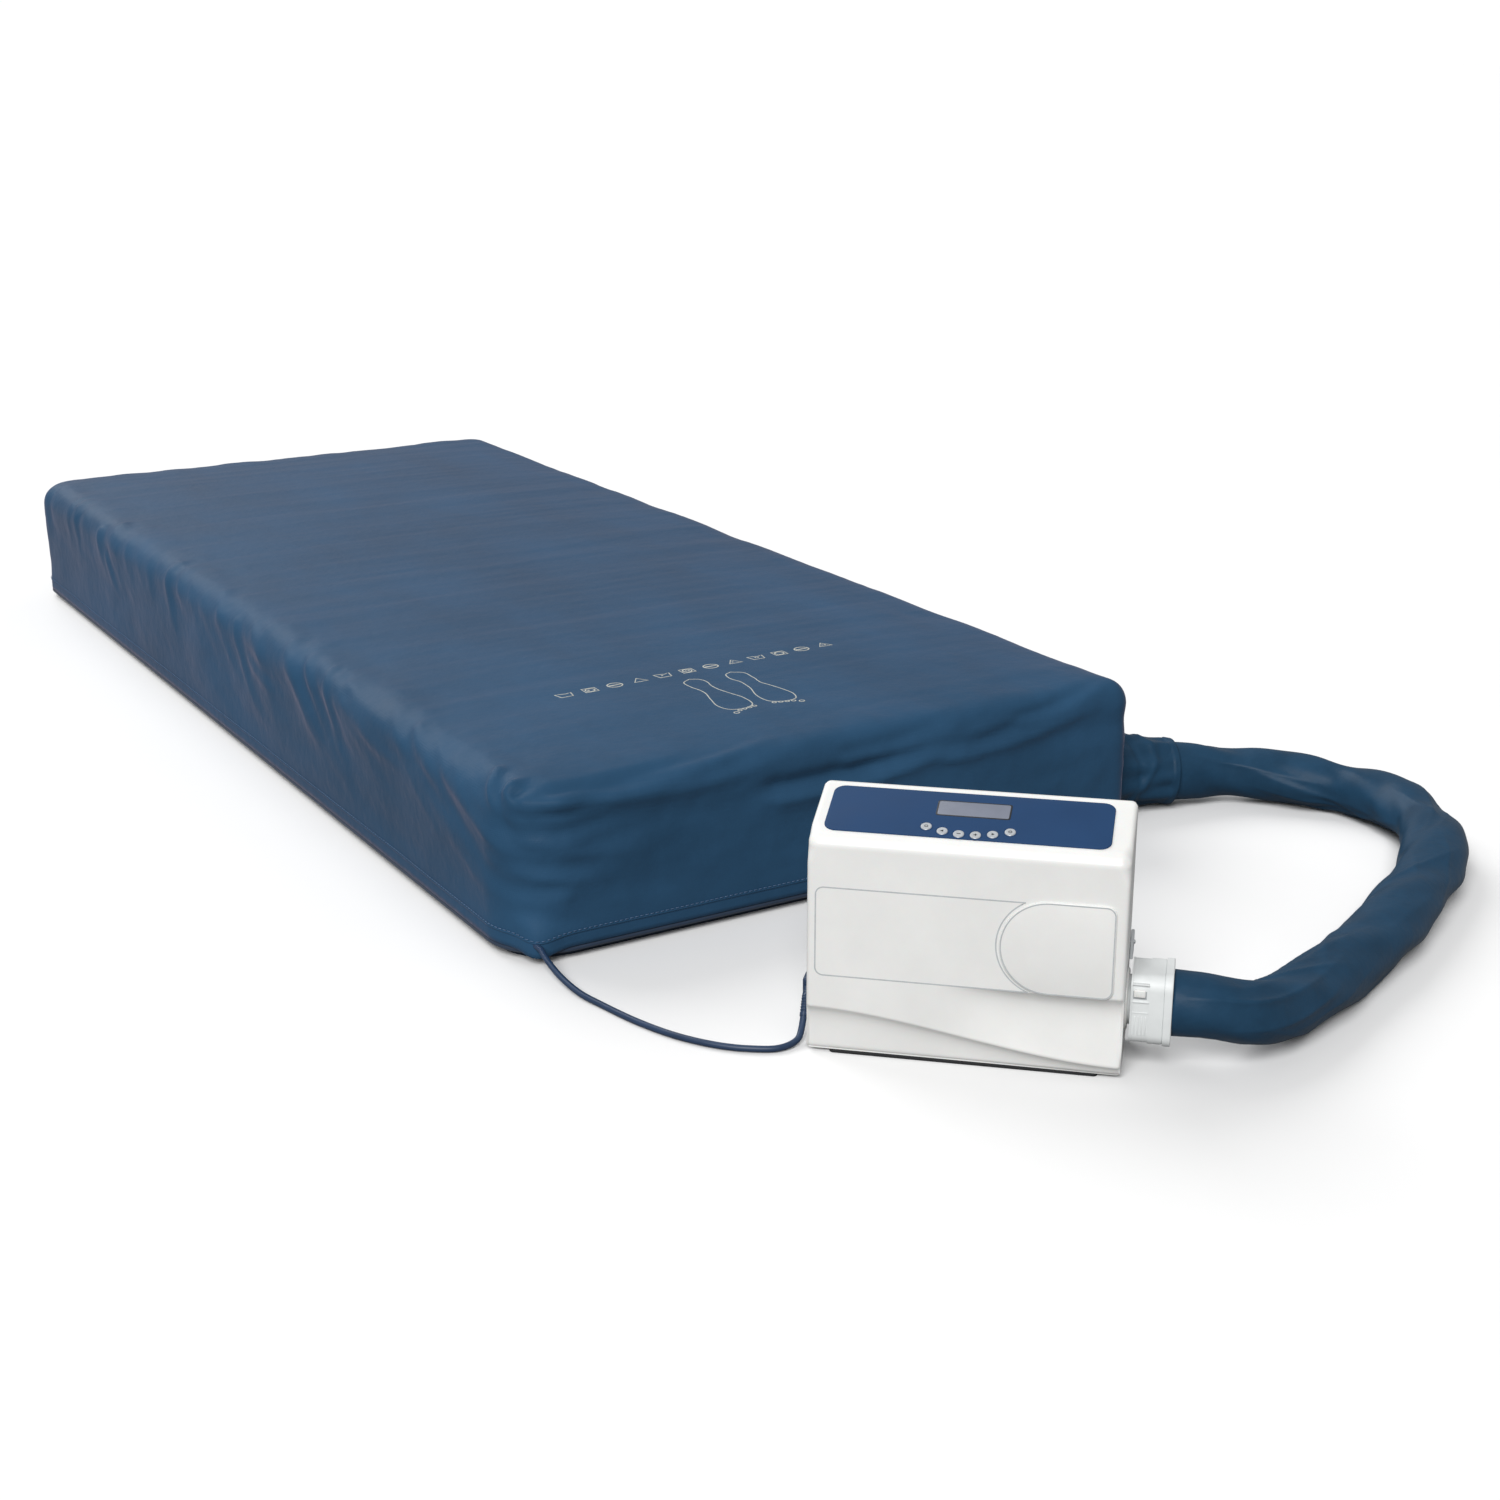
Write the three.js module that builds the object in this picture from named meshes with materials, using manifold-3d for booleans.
// Pressure relief air mattress with its air pump, fabric-sleeved umbilical and mains lead.
// Millimetres, +Z up. The origin is on the floor under the mattress's centre; +X runs to the
// right along the foot end, +Y from the foot end to the head end.
import * as THREE from 'three';
import { mergeVertices } from 'three/addons/utils/BufferGeometryUtils.js';
import Module from 'manifold-3d';

const wasm = await Module();
wasm.setup();

// Clearances
const fit = 0.3; // between pieces that touch
const slack = 0.5; // round a piece that moves in a hole
const overrun = 6; // how far a cutter runs past what it cuts
const sunk = 0.5; // how far a boss sinks into its wall before the two are joined

// Mattress
const mattress = {
  width: 880,
  length: 1980,
  height: 211,
  nearCornerRadius: 80, // foot left, the softest corner
  footCornerRadius: 34, // foot right
  headCornerRadius: 58,
};
const cover = {
  wall: 2.5,
  foldHeight: 5,
  foldPitch: 168,
  foldSlantShare: 0.55,
  crown: 6,
  cellRipple: 1.2,
  shoulder: 36,
  edgeShares: [0, 0.33, 1.06, 2.33], // of the shoulder: how far from the edge the mesh bends
  hemHeight: 16,
  calmRadius: 95, // the cover stays flat this far round a fitting
};
const piping = { radius: 3.4 };
const tray = { wall: 1.6, height: 42 };
const zip = {
  room: 13, // between the tray's wall and the skirt
  chainThickness: 2.4,
  chainBottom: 30,
  tapeThickness: 1.5,
  sliderThickness: 4.6,
  sliderLength: 16,
  sliderHeight: 9,
  sliderPlace: -(mattress.length / 2 - 290),
  postRadius: 1.6,
  postLength: 1.6,
  pullLength: 14,
  pullWidth: 8,
  pullThickness: 1.2,
};
const cell = {
  count: 16,
  gap: 4,
  wall: 1.2,
  rowMargin: 4, // between the first or last cell and the tray
  endMargin: 14,
  endRadius: 14,
  topRadius: 44,
  headroom: 2,
  portRadius: 3.5,
};
const supply = {
  radius: 6,
  gapToCell: 8,
  highLine: 69,
  lowLine: 38,
  stubRadius: 3,
  elbowWidth: 18,
  headRun: 14,
};
const valve = {
  y: mattress.length / 2 - 230,
  height: 100,
  radius: 18,
  bore: 12,
  flangeRadius: 26,
  flangeThickness: 3,
  neckRadius: 4,
  capRadius: 22,
  capThickness: 8,
  gripLength: 34,
  gripWidth: 7,
  gripHeight: 6,
};

// Mains lead
const cord = { diameter: 7, sides: 8, coilSides: 6, tunnelBore: 5.5 };
const tunnel = { fromWall: 10.5, height: 24, width: 17, endMargin: 60 };
const coil = {
  x: -320,
  y: 1082,
  middleRadius: 40.6,
  pitch: 8.4,
  layers: 4,
  turnsEachLayer: 2,
  stepsEachTurn: 24,
};
const tie = { width: 12, thickness: 1.4 };
const plug = {
  x: -188,
  y: 1046,
  length: 44,
  width: 48,
  height: 21,
  corner: 9,
  pinLength: 17,
  livePinWidth: 6.3,
  livePinThickness: 4,
  earthPinWidth: 4,
  earthPinThickness: 8,
  livePinSpan: 22,
  earthPinPlace: 22,
  gripLength: 12,
  gripWidth: 13,
};

// Umbilical
const hose = { diameter: 14, bore: 9, spacing: 20, rings: 26, sides: 6 };
const boot = {
  y: -(mattress.length / 2 - 85),
  z: 55,
  bend: 65, // from the mattress's side to where the boot starts to turn
  bendDrop: 5,
  bendShift: 10,
  reach: 110, // from the mattress's side to the boot's mouth
  reachDrop: 10,
  reachShift: 25,
  rootRadius: 54,
  mouthRadius: 43,
  wall: 2.4,
};
const sleeve = {
  wall: 1.6,
  pumpRadius: 31,
  bendHalfWidth: 44,
  bendHalfHeight: 33,
  foldHeight: 2.6,
  foldsRound: 3,
  foldTwists: 5,
  easeShare: 0.12, // the folds fade over this share at each end
  overlap: 8, // how far its far end lies inside the boot
  rings: 28,
  sides: 12,
};
const connector = {
  depth: 58,
  z: 65,
  width: 64,
  height: 72,
  corner: 13,
  start: 5, // from the pump's side wall
  length: 41,
  spigotRadius: 25,
  spigotLength: 10,
  hoseSocket: 20,
  slotLength: 15,
  slotHeight: 17,
  slotDepth: 10,
  slotBelowTop: 15,
};
const latch = {
  length: 12.5,
  height: 8,
  thickness: 5.5,
  proud: 2.5,
  lugLength: 5,
  pinDepth: 6,
  pinRadius: 1.2,
  pinInWall: 2,
};
const lever = { length: 25, height: 23, thickness: 3.4, z: 125, depth: 96, pinRadius: 1.6, pinLength: 3 };

// Pump
const pump = {
  x: -154.1,
  y: -1425.3,
  turn: -0.75, // radians about +Z
  width: 316,
  depth: 105,
  frontHeight: 235,
  rise: 26,
  wall: 3,
  split: 97,
  edge: 5,
  brow: 9, // radius where the front meets the facia
  ridge: 7, // radius along the top at the back
};
const badge = {
  left: 34,
  right: 147,
  bottom: 88,
  top: 186,
  corner: 10,
  proud: 2.4,
};
const scoop = { x: 118, z: 72, radiusX: 118, radiusZ: 46, depth: 8 };
const skirtStep = { depth: 2.6, leftHeight: 53, rightHeight: 14.5 };
const overlay = { x: -4, along: 54, width: 282, height: 80, corner: 12, thickness: 1.2 };
const display = { x: -1, along: 65, width: 71, height: 24, corner: 2, thickness: 2.2 };
const button = {
  count: 6,
  spacing: 16.5,
  middleX: -3,
  middleAlong: 20.6,
  endRise: 9.7, // how much further up the facia the two end buttons sit
  width: 11,
  height: 12.4,
  proud: 0.9,
  stem: 9,
  stemRadius: 2,
  travel: 0.6,
};
const board = { width: 190, height: 62, thickness: 1.6, postRadius: 3, postX: 88, postAlong: 78 };
const powerSwitch = { depth: 82, z: 100, width: 13, height: 21, proud: 2 };
const inlet = { depth: 84, z: 37, width: 24, height: 28, length: 22, lip: 1.6, lipThickness: 1.5 };
const mainsConnector = { thickness: 15, width: 22, height: 26, corner: 4, gripLength: 8, gripRadius: 5 };
const foot = { length: 270, width: 13, height: 3, inset: 14 };
const hook = {
  x: 104,
  z: 214,
  reach: 62,
  drop: 44,
  thickness: 6,
  width: 11,
  barrelRadius: 5,
  barrelHeight: 20,
  pinRadius: 2.4,
  pinLength: 4,
  earThickness: 5,
  earWidth: 15,
  earReach: 16,
  standOff: 9,
};
const compressor = { gap: 7, width: 118, depth: 66, height: 74, headRadius: 22, headLength: 22, y: 52 };
const valveBlock = {
  gap: 7,
  width: 66,
  depth: 46,
  height: 88,
  nozzleRadius: 4,
  shaftRadius: 2.5,
  shaftHeight: 5,
};
const rotor = { radius: 17, thickness: 6, lobeRadius: 4, lobePlace: 11, lobeHeight: 3 };
const filter = {
  x: 10,
  z: 120,
  width: 62,
  height: 46,
  thickness: 9,
  vents: 5,
  ventHeight: 4,
  ventPitch: 8,
};

// The umbilical's route from the pump to the mattress, chosen by hand
const umbilicalRoute = [
  [98, -1556, 52], [146, -1551, 42], [216, -1529, 36], [296, -1497, 34.5], [380, -1462, 34.5],
  [485, -1407, 34.5], [592, -1344, 35], [660, -1287, 35], [707, -1221, 35], [731, -1154, 35],
  [722, -1087, 36], [690, -1030, 37], [648, -982, 39], [598, -950, 42],
];
// The free cord's route from the mattress to the pump, chosen by hand
const cordRoute = [
  [-409, -1004, 21], [-409, -1040, 12], [-405, -1080, 6], [-397, -1115, 4.2], [-383, -1176, 4.2],
  [-364, -1226, 4.2], [-339, -1265, 4.2], [-316, -1287, 4.2], [-290, -1301, 4.2], [-266, -1297, 6],
];
// The cord's route from the head end to the coil, and from the coil to the plug
const coilLeadIn = [[-405, 1020, 13], [-388, 1046, 4.2]];
const coilTail = [[-262, 1052, 24], [-246, 1046, 17]];

const up = new THREE.Vector3(0, 0, 1);
const alongX = new THREE.Vector3(1, 0, 0);
const alongY = new THREE.Vector3(0, 1, 0);

// Geometry helpers

// One closed body with shared vertices and its faces pointing out
function weld(source) {
  const bare = source.clone();
  for (const name of Object.keys(bare.attributes)) {
    if (name !== 'position') bare.deleteAttribute(name);
  }
  const geometry = mergeVertices(bare, 1e-4);
  const place = geometry.attributes.position;
  const old = geometry.index.array;
  const kept = [];
  const [a, b, c] = [new THREE.Vector3(), new THREE.Vector3(), new THREE.Vector3()];
  let volume = 0;
  for (let i = 0; i < old.length; i += 3) {
    const [p, q, r] = [old[i], old[i + 1], old[i + 2]];
    if (p === q || q === r || r === p) continue;
    kept.push(p, q, r);
    a.fromBufferAttribute(place, p);
    b.fromBufferAttribute(place, q);
    c.fromBufferAttribute(place, r);
    volume += a.dot(b.cross(c));
  }
  if (volume < 0) kept.reverse();
  geometry.setIndex(kept);
  return geometry;
}

function toSolid(geometry) {
  const welded = weld(geometry);
  const vertProperties = new Float32Array(welded.attributes.position.array);
  const triVerts = new Uint32Array(welded.index.array);
  return new wasm.Manifold(new wasm.Mesh({ numProp: 3, vertProperties, triVerts }));
}

function fromSolid(solid) {
  const mesh = solid.getMesh();
  const geometry = new THREE.BufferGeometry();
  geometry.setAttribute('position', new THREE.BufferAttribute(mesh.vertProperties, 3));
  geometry.setIndex(new THREE.BufferAttribute(mesh.triVerts, 1));
  return geometry;
}

function join(first, ...others) {
  return fromSolid(others.reduce((solid, other) => solid.add(toSolid(other)), toSolid(first)));
}

function cut(first, ...others) {
  return fromSolid(others.reduce((solid, other) => solid.subtract(toSolid(other)), toSolid(first)));
}

// A box given by its lowest and highest corners
function box(low, high) {
  const size = high.map((value, axis) => value - low[axis]);
  const geometry = new THREE.BoxGeometry(...size);
  return geometry.translate(...high.map((value, axis) => (value + low[axis]) / 2));
}

// A cylinder along X, Y or Z, from one end to the other
function rod(axis, radius, from, to, place, sides = 16) {
  const geometry = new THREE.CylinderGeometry(radius, radius, to - from, sides);
  geometry.translate(0, (from + to) / 2, 0);
  if (axis === 'x') geometry.rotateZ(-Math.PI / 2);
  if (axis === 'z') geometry.rotateX(Math.PI / 2);
  return geometry.translate(...place);
}

// A rounded rectangle about the origin; the radii run foot left, foot right, head right, head left
function outline(halfWidth, halfLength, radii) {
  const [nearLeft, nearRight, farRight, farLeft] = radii;
  const quarter = Math.PI / 2;
  const shape = new THREE.Shape();
  shape.moveTo(-halfWidth + nearLeft, -halfLength);
  shape.lineTo(halfWidth - nearRight, -halfLength);
  shape.absarc(halfWidth - nearRight, -halfLength + nearRight, nearRight, -quarter, 0);
  shape.lineTo(halfWidth, halfLength - farRight);
  shape.absarc(halfWidth - farRight, halfLength - farRight, farRight, 0, quarter);
  shape.lineTo(-halfWidth + farLeft, halfLength);
  shape.absarc(-halfWidth + farLeft, halfLength - farLeft, farLeft, quarter, 2 * quarter);
  shape.lineTo(-halfWidth, -halfLength + nearLeft);
  shape.absarc(-halfWidth + nearLeft, -halfLength + nearLeft, nearLeft, 2 * quarter, 3 * quarter);
  return shape;
}

// A flat shape raised from one height to another, its edges rounded where asked
function prism(shape, bottom, top, edge = 0, steps = 2, edgeSteps = 2) {
  const geometry = new THREE.ExtrudeGeometry(shape, {
    depth: top - bottom - 2 * edge,
    bevelEnabled: edge > 0,
    bevelSize: edge,
    bevelThickness: edge,
    bevelOffset: -edge,
    bevelSegments: edgeSteps,
    curveSegments: steps,
  });
  return geometry.translate(0, 0, bottom + edge);
}

// A shape drawn in (depth, height), raised along X
function sideways(geometry) {
  return geometry.applyMatrix4(new THREE.Matrix4().makeBasis(alongY, up, alongX));
}

// A shape drawn in (width, height), raised from the front towards the back
function facing(geometry) {
  const back = new THREE.Vector3(0, -1, 0);
  geometry.applyMatrix4(new THREE.Matrix4().makeBasis(alongX, up, back));
  return geometry;
}

// A tube bent along part of a route. A straight lathe tube of unit height is bent, ring by ring;
// outer and inner give each point's (sideways, upward) offset from the share and the angle.
function tube(route, [from, to], rings, sides, outer, inner, byPoint = false) {
  const outerMark = 2;
  const innerMark = 1;
  const profile = [];
  for (let ring = 0; ring <= rings; ring += 1) profile.push(new THREE.Vector2(outerMark, ring / rings));
  if (inner) {
    for (let ring = rings; ring >= 0; ring -= 1) profile.push(new THREE.Vector2(innerMark, ring / rings));
    profile.push(profile[0].clone());
  } else {
    profile.unshift(new THREE.Vector2(0, 0));
    profile.push(new THREE.Vector2(0, 1));
  }
  const geometry = new THREE.LatheGeometry(profile, sides);
  const place = geometry.attributes.position;
  for (let i = 0; i < place.count; i += 1) {
    const mark = Math.round(Math.hypot(place.getX(i), place.getZ(i)));
    const angle = Math.atan2(place.getZ(i), place.getX(i));
    const share = place.getY(i);
    const along = from + (to - from) * share;
    const centre = byPoint ? route.getPoint(along) : route.getPointAt(along);
    const ahead = byPoint ? route.getTangent(along) : route.getTangentAt(along);
    const side = new THREE.Vector3().crossVectors(ahead, up).normalize();
    const lift = new THREE.Vector3().crossVectors(side, ahead);
    const offset = mark === 0 ? [0, 0] : (mark === outerMark ? outer : inner)(share, angle);
    centre.addScaledVector(side, offset[0]).addScaledVector(lift, offset[1]);
    place.setXYZ(i, centre.x, centre.y, centre.z);
  }
  return geometry;
}

function circle(radius, shift = 0) {
  return (share, angle) => [shift + radius * Math.cos(angle), radius * Math.sin(angle)];
}

function curve(points) {
  const route = new THREE.CatmullRomCurve3(points.map((point) => new THREE.Vector3(...point)));
  route.arcLengthDivisions = 1200;
  return route;
}

// The share of a route's length at which it passes nearest to a point
function shareNear(route, point) {
  const target = new THREE.Vector3(...point);
  const samples = 2000;
  let best = 0;
  for (let i = 0; i <= samples; i += 1) {
    const gap = route.getPointAt(i / samples).distanceTo(target);
    if (gap < route.getPointAt(best / samples).distanceTo(target)) best = i;
  }
  return best / samples;
}

function paint(color, roughness, metalness = 0) {
  return () => new THREE.MeshStandardMaterial({ color, roughness, metalness });
}

const navyCloth = paint('#33506f', 0.5);
const darkCloth = paint('#24364c', 0.6);
const cellFilm = paint('#b9c4cc', 0.45);
const clearTube = paint('#c9d2d6', 0.25);
const whiteShell = paint('#e6e6e4', 0.35);
const greyPart = paint('#a9adb0', 0.45);
const bluePanel = paint('#2b4d74', 0.35);
const displayGlass = paint('#858a96', 0.2);
const keySilver = paint('#c4c8cc', 0.4);
const blackRubber = paint('#1d1f22', 0.8);
const cordJacket = paint('#1f3450', 0.5);
const nylonWhite = paint('#dfe2e2', 0.5);
const zipTape = paint('#1b2c42', 0.7);
const steel = paint('#b8bcc0', 0.35, 0.8);
const boardGreen = paint('#2f6b46', 0.6);
const foamGrey = paint('#4a4d50', 0.9);

const object = new THREE.Group();
object.name = 'pressure_relief_air_mattress';

function add(parent, name, geometry, material) {
  const mesh = new THREE.Mesh(weld(geometry), material());
  mesh.name = name;
  parent.add(mesh);
}

// Sizes that several mattress pieces share
const skirtOuter = mattress.width / 2 - cover.foldHeight;
const skirtOuterEnd = mattress.length / 2 - cover.foldHeight;
const skirtInner = skirtOuter - cover.wall;
const skirtInnerEnd = skirtOuterEnd - cover.wall;
const trayOuter = skirtInner - zip.room;
const trayOuterEnd = skirtInnerEnd - zip.room;
const cellHalf = trayOuter - tray.wall - supply.radius - supply.gapToCell - cell.endMargin;
const coverTop = mattress.height - cover.crown - cover.cellRipple;
const cellTop = coverTop - cover.wall - cell.headroom;
const lineX = cellHalf + supply.gapToCell + supply.radius;
const tunnelX = -(trayOuter - tray.wall - tunnel.fromWall);
const cornerRadii = [
  mattress.nearCornerRadius,
  mattress.footCornerRadius,
  mattress.headCornerRadius,
  mattress.headCornerRadius,
];

function radiiInset(inset) {
  return cornerRadii.map((radius) => Math.max(radius - inset, inset));
}

// Grid line number index of a half width: the first lines lie close together at the edge
function graded(index, halfCount, half) {
  const fromEdge = Math.round(halfCount - Math.abs(index));
  const last = cover.edgeShares.length - 1;
  const place = half - cover.edgeShares[Math.min(fromEdge, last)] * cover.shoulder;
  return fromEdge <= last ? Math.sign(index) * place : (index / (halfCount - last)) * place;
}

// A rounded block whose corners, shoulder and faces follow the soft cover
function softBlock(halfWidth, halfLength, bottom, top, radii, shoulder, counts, form) {
  const [across, along, upward] = counts;
  const geometry = new THREE.BoxGeometry(across, along, 1, across, along, upward);
  const place = geometry.attributes.position;
  const risePower = 1.7;
  for (let i = 0; i < place.count; i += 1) {
    let x = graded(place.getX(i), across / 2, halfWidth);
    let y = graded(place.getY(i), along / 2, halfLength);
    const level = place.getZ(i) + 0.5;
    let z = bottom + (top - bottom) * (1 - (1 - level) ** risePower);
    const corner = y < 0 ? (x < 0 ? 0 : 1) : (x < 0 ? 3 : 2);
    const radius = radii[corner];
    const coreX = halfWidth - radius;
    const coreY = halfLength - radius;
    let dx = Math.abs(x) - coreX;
    let dy = Math.abs(y) - coreY;
    if (dx > 0 && dy > 0) {
      const scale = Math.max(dx, dy) / Math.hypot(dx, dy);
      dx *= scale;
      dy *= scale;
      x = Math.sign(x) * (coreX + dx);
      y = Math.sign(y) * (coreY + dy);
    }
    const outward = new THREE.Vector3(Math.max(dx, 0), Math.max(dy, 0), 0);
    if (outward.length() === 0) outward.set(dx > dy ? 1 : 0, dx > dy ? 0 : 1, 0);
    const inset = dx > 0 && dy > 0 ? radius - Math.hypot(dx, dy) : radius - Math.max(dx, dy);
    outward.normalize();
    outward.x *= Math.sign(x) || 1;
    outward.y *= Math.sign(y) || 1;
    const below = top - z;
    if (inset < shoulder && below < shoulder) {
      const a = shoulder - inset;
      const b = shoulder - below;
      const scale = Math.max(a, b) / Math.hypot(a, b);
      x -= outward.x * (a - a * scale);
      y -= outward.y * (a - a * scale);
      z = top - shoulder + b * scale;
    }
    const onSide = inset < 1 && level < 1;
    const push = form ? form(x, y, z, outward, onSide, inset) : [0, 0];
    place.setXYZ(i, x + outward.x * push[0], y + outward.y * push[0], z + push[1]);
  }
  return geometry;
}

// How far the cover's side folds and its crown stand out at a point
function coverForm(x, y, z, outward, onSide, inset) {
  const rise = (z - cover.hemHeight) / (coverTop - cover.hemHeight);
  let fold = 0;
  if (onSide) {
    const run = Math.abs(outward.x) > Math.abs(outward.y) ? y : x + mattress.length / 2;
    const phase = (run + cover.foldSlantShare * (coverTop - z)) / cover.foldPitch;
    const envelope = Math.sin(Math.PI * Math.min(Math.max(rise, 0), 1)) ** 1.3;
    fold = cover.foldHeight * envelope * (0.5 + 0.5 * Math.cos(2 * Math.PI * phase));
    for (const [fitY, fitZ] of [[boot.y, boot.z], [valve.y, valve.height]]) {
      if (x > 0 && Math.hypot(y - fitY, z - fitZ) < cover.calmRadius) fold = 0;
    }
    if (Math.abs(x - tunnelX) < tunnel.width && z < tray.height + cover.hemHeight) fold = 0;
  }
  const edgeShare = Math.min(inset / (mattress.width / 2), 1);
  const swell = cover.crown * Math.sin((edgeShare * Math.PI) / 2);
  const ripple = cover.cellRipple * Math.cos((2 * Math.PI * (y - cellMiddle(0))) / cellBay);
  const topShare = inset > 0 && z > coverTop - cover.shoulder ? Math.min(inset / cover.shoulder, 1) : 0;
  return [fold, topShare * (swell + ripple)];
}

// Where the umbilical's boot meets the cover, and where its hoses pass through
const bootRoot = skirtOuter + fit;
const bootMouth = [bootRoot + boot.reach, boot.y - boot.reachShift, boot.z - boot.reachDrop];
const bootBend = [bootRoot + boot.bend, boot.y - boot.bendShift, boot.z - boot.bendDrop];

const hollowEdge = cover.shoulder - cover.wall;
const hollowRadii = radiiInset(cover.wall).map((radius) => Math.max(radius, hollowEdge + sunk));

function buildCovers() {
  const counts = [10, 38, 5];
  const outer = softBlock(
    skirtOuter, skirtOuterEnd, cover.hemHeight, coverTop, cornerRadii, cover.shoulder, counts, coverForm,
  );
  const inner = prism(
    outline(skirtInner, skirtInnerEnd, hollowRadii),
    -hollowEdge, coverTop - cover.wall, hollowEdge, 3, 2,
  );
  const hoseHole = (hose.spacing + hose.diameter) / 2 + overrun;
  const skin = cut(
    outer,
    inner,
    rod('x', hoseHole, skirtInner - overrun, skirtOuter + overrun, [0, boot.y, boot.z], 12),
    rod('x', valve.radius + slack, skirtInner - overrun, skirtOuter + overrun, [0, valve.y, valve.height]),
    rod('y', cord.tunnelBore, -mattress.length, mattress.length, [tunnelX, 0, tunnel.height], 10),
  );
  add(object, 'top_cover', skin, navyCloth);

  // The piping is a ring whose middle follows the hem
  const middle = skirtOuter - piping.radius;
  const middleEnd = skirtOuterEnd - piping.radius;
  const hem = outline(middle, middleEnd, radiiInset(piping.radius)).getPoints(3);
  if (hem[0].distanceTo(hem[hem.length - 1]) < fit) hem.pop();
  const steps = hem.length;
  const ringMark = 3;
  const ring = new THREE.TorusGeometry(ringMark, 1, 5, steps);
  const place = ring.attributes.position;
  for (let i = 0; i < place.count; i += 1) {
    const turn = Math.atan2(place.getY(i), place.getX(i)) / (2 * Math.PI);
    const index = ((Math.round(turn * steps) % steps) + steps) % steps;
    const before = hem[(index + steps - 1) % steps];
    const after = hem[(index + 1) % steps];
    const ahead = after.clone().sub(before).normalize();
    const out = (Math.hypot(place.getX(i), place.getY(i)) - ringMark) * piping.radius;
    const height = cover.hemHeight - fit - piping.radius + place.getZ(i) * piping.radius;
    place.setXYZ(i, hem[index].x + ahead.y * out, hem[index].y - ahead.x * out, height);
  }
  add(object, 'hem_piping', ring, darkCloth);

  // The base cover: a shallow tray with the cable tunnel sewn along its left wall
  const trayInset = cover.foldHeight + cover.wall + zip.room;
  const innerHalf = trayOuter - tray.wall;
  const innerHalfEnd = trayOuterEnd - tray.wall;
  const walls = cut(
    prism(outline(trayOuter, trayOuterEnd, radiiInset(trayInset)), 0, tray.height),
    prism(outline(innerHalf, innerHalfEnd, radiiInset(trayInset)), tray.wall, tray.height + overrun),
  );
  const sewn = box(
    [-innerHalf - sunk, -innerHalfEnd + tunnel.endMargin, tunnel.height - tunnel.width / 2],
    [tunnelX + tunnel.width / 2, innerHalfEnd - tunnel.endMargin, tunnel.height + tunnel.width / 2],
  );
  const way = rod('y', cord.tunnelBore, -mattress.length, mattress.length, [tunnelX, 0, tunnel.height], 10);
  add(object, 'base_cover', cut(join(walls, sewn), way), darkCloth);

  // The zip runs round the tray's wall, and its tape reaches the skirt
  const chainIn = trayOuter + fit;
  const chainOut = chainIn + zip.chainThickness;
  const shift = trayOuterEnd - trayOuter;
  const chainRadii = radiiInset(trayInset);
  const tapeBottom = tray.height + fit;
  const tapeTop = tapeBottom + zip.tapeThickness;
  const band = cut(
    prism(outline(chainOut, chainOut + shift, chainRadii), zip.chainBottom, tapeTop),
    prism(outline(chainIn, chainIn + shift, chainRadii), zip.chainBottom - overrun, tray.height + overrun),
  );
  const tapeOut = skirtInner - fit;
  const tapeIn = trayOuter - tray.wall;
  const tape = cut(
    prism(outline(tapeOut, tapeOut + shift, hollowRadii), tapeBottom, tapeTop, 0, 3),
    prism(outline(tapeIn, tapeIn + shift, chainRadii), 0, tray.height + overrun),
  );
  add(object, 'zip_chain', join(tape, band), zipTape);

  const sliderIn = chainOut + fit;
  const sliderOut = sliderIn + zip.sliderThickness;
  const sliderMiddle = (zip.chainBottom + tray.height) / 2;
  const postEnd = sliderOut + zip.postLength;
  const half = zip.sliderLength / 2;
  const slider = join(
    box(
      [sliderIn, zip.sliderPlace - half, sliderMiddle - zip.sliderHeight / 2],
      [sliderOut, zip.sliderPlace + half, sliderMiddle + zip.sliderHeight / 2],
    ),
    rod('x', zip.postRadius, sliderOut - sunk, postEnd, [0, zip.sliderPlace, sliderMiddle], 8),
  );
  add(object, 'zip_slider', slider, steel);
  const pullIn = sliderOut + fit;
  const pullShape = new THREE.Shape();
  pullShape.absarc(0, 0, zip.pullWidth / 2, 0, Math.PI);
  pullShape.absarc(0, -zip.pullLength, zip.pullWidth / 2, Math.PI, 2 * Math.PI);
  const eye = new THREE.Path();
  eye.absarc(0, 0, zip.postRadius + fit, 0, 2 * Math.PI, true);
  pullShape.holes.push(eye);
  const pull = sideways(prism(pullShape, pullIn, pullIn + zip.pullThickness, 0, 4));
  add(object, 'zip_pull', pull.translate(0, zip.sliderPlace, sliderMiddle), steel);
}

const cellRow = trayOuterEnd - tray.wall - cell.rowMargin;
const cellBay = (2 * cellRow) / cell.count;

function cellMiddle(index) {
  return -cellRow + cellBay * (index + 0.5);
}

function portHeight(index) {
  return index % 2 === 0 ? supply.highLine : supply.lowLine;
}

function buildCells() {
  const halfDepth = (cellBay - cell.gap) / 2;
  const bottom = tray.wall + fit;
  const halfHeight = (cellTop - bottom) / 2;
  const centre = (cellTop + bottom) / 2;
  const bladder = (inset) => {
    const shape = outline(
      halfDepth - inset, halfHeight - inset, new Array(4).fill(cell.topRadius - inset),
    );
    const reach = cellHalf - inset;
    return sideways(prism(shape, -reach, reach, cell.endRadius - inset, 1, 1)).translate(0, 0, centre);
  };
  const hollow = cut(bladder(0), bladder(2 * cell.wall));
  for (let index = 0; index < cell.count; index += 1) {
    const port = rod(
      'x', cell.portRadius, cellHalf - 2 * cell.wall, cellHalf + overrun, [0, 0, portHeight(index)], 6,
    );
    const name = `air_cell_${String(index + 1).padStart(2, '0')}`;
    add(object, name, cut(hollow, port).translate(0, cellMiddle(index), 0), cellFilm);
  }
}

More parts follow.
